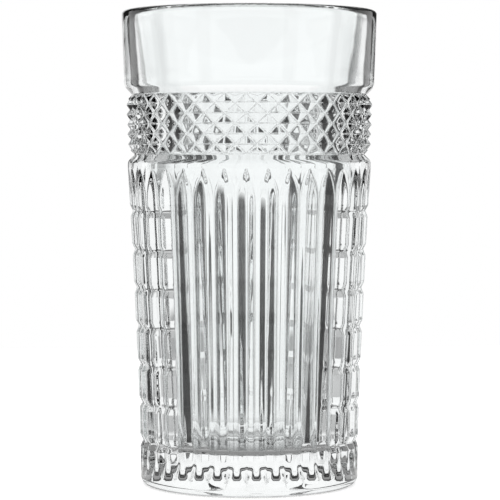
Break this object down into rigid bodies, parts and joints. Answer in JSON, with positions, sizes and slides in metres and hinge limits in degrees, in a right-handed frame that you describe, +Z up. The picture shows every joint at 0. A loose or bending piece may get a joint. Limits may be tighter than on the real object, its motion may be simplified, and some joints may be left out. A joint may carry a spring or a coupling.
{
  "type": "highball glass",
  "caption": "Tall pressed-glass tumbler with a plain flared rim, a band of raised diamond points, long mitre flutes and notched side panels.",
  "frame": {"origin": "centre of the foot, on the surface that the glass stands on", "axes": "+Z up along the glass's axis; a plain, unnotched panel faces -Y, and the notched panels face +X and -X"},
  "size_m": [0.0818, 0.0818, 0.152],
  "materials": {
    "glass": "clear soda-lime glass, pressed and fire polished"
  },
  "bodies": {
    "root": {"tumbler": "glass"}
  },
  "joints": []
}
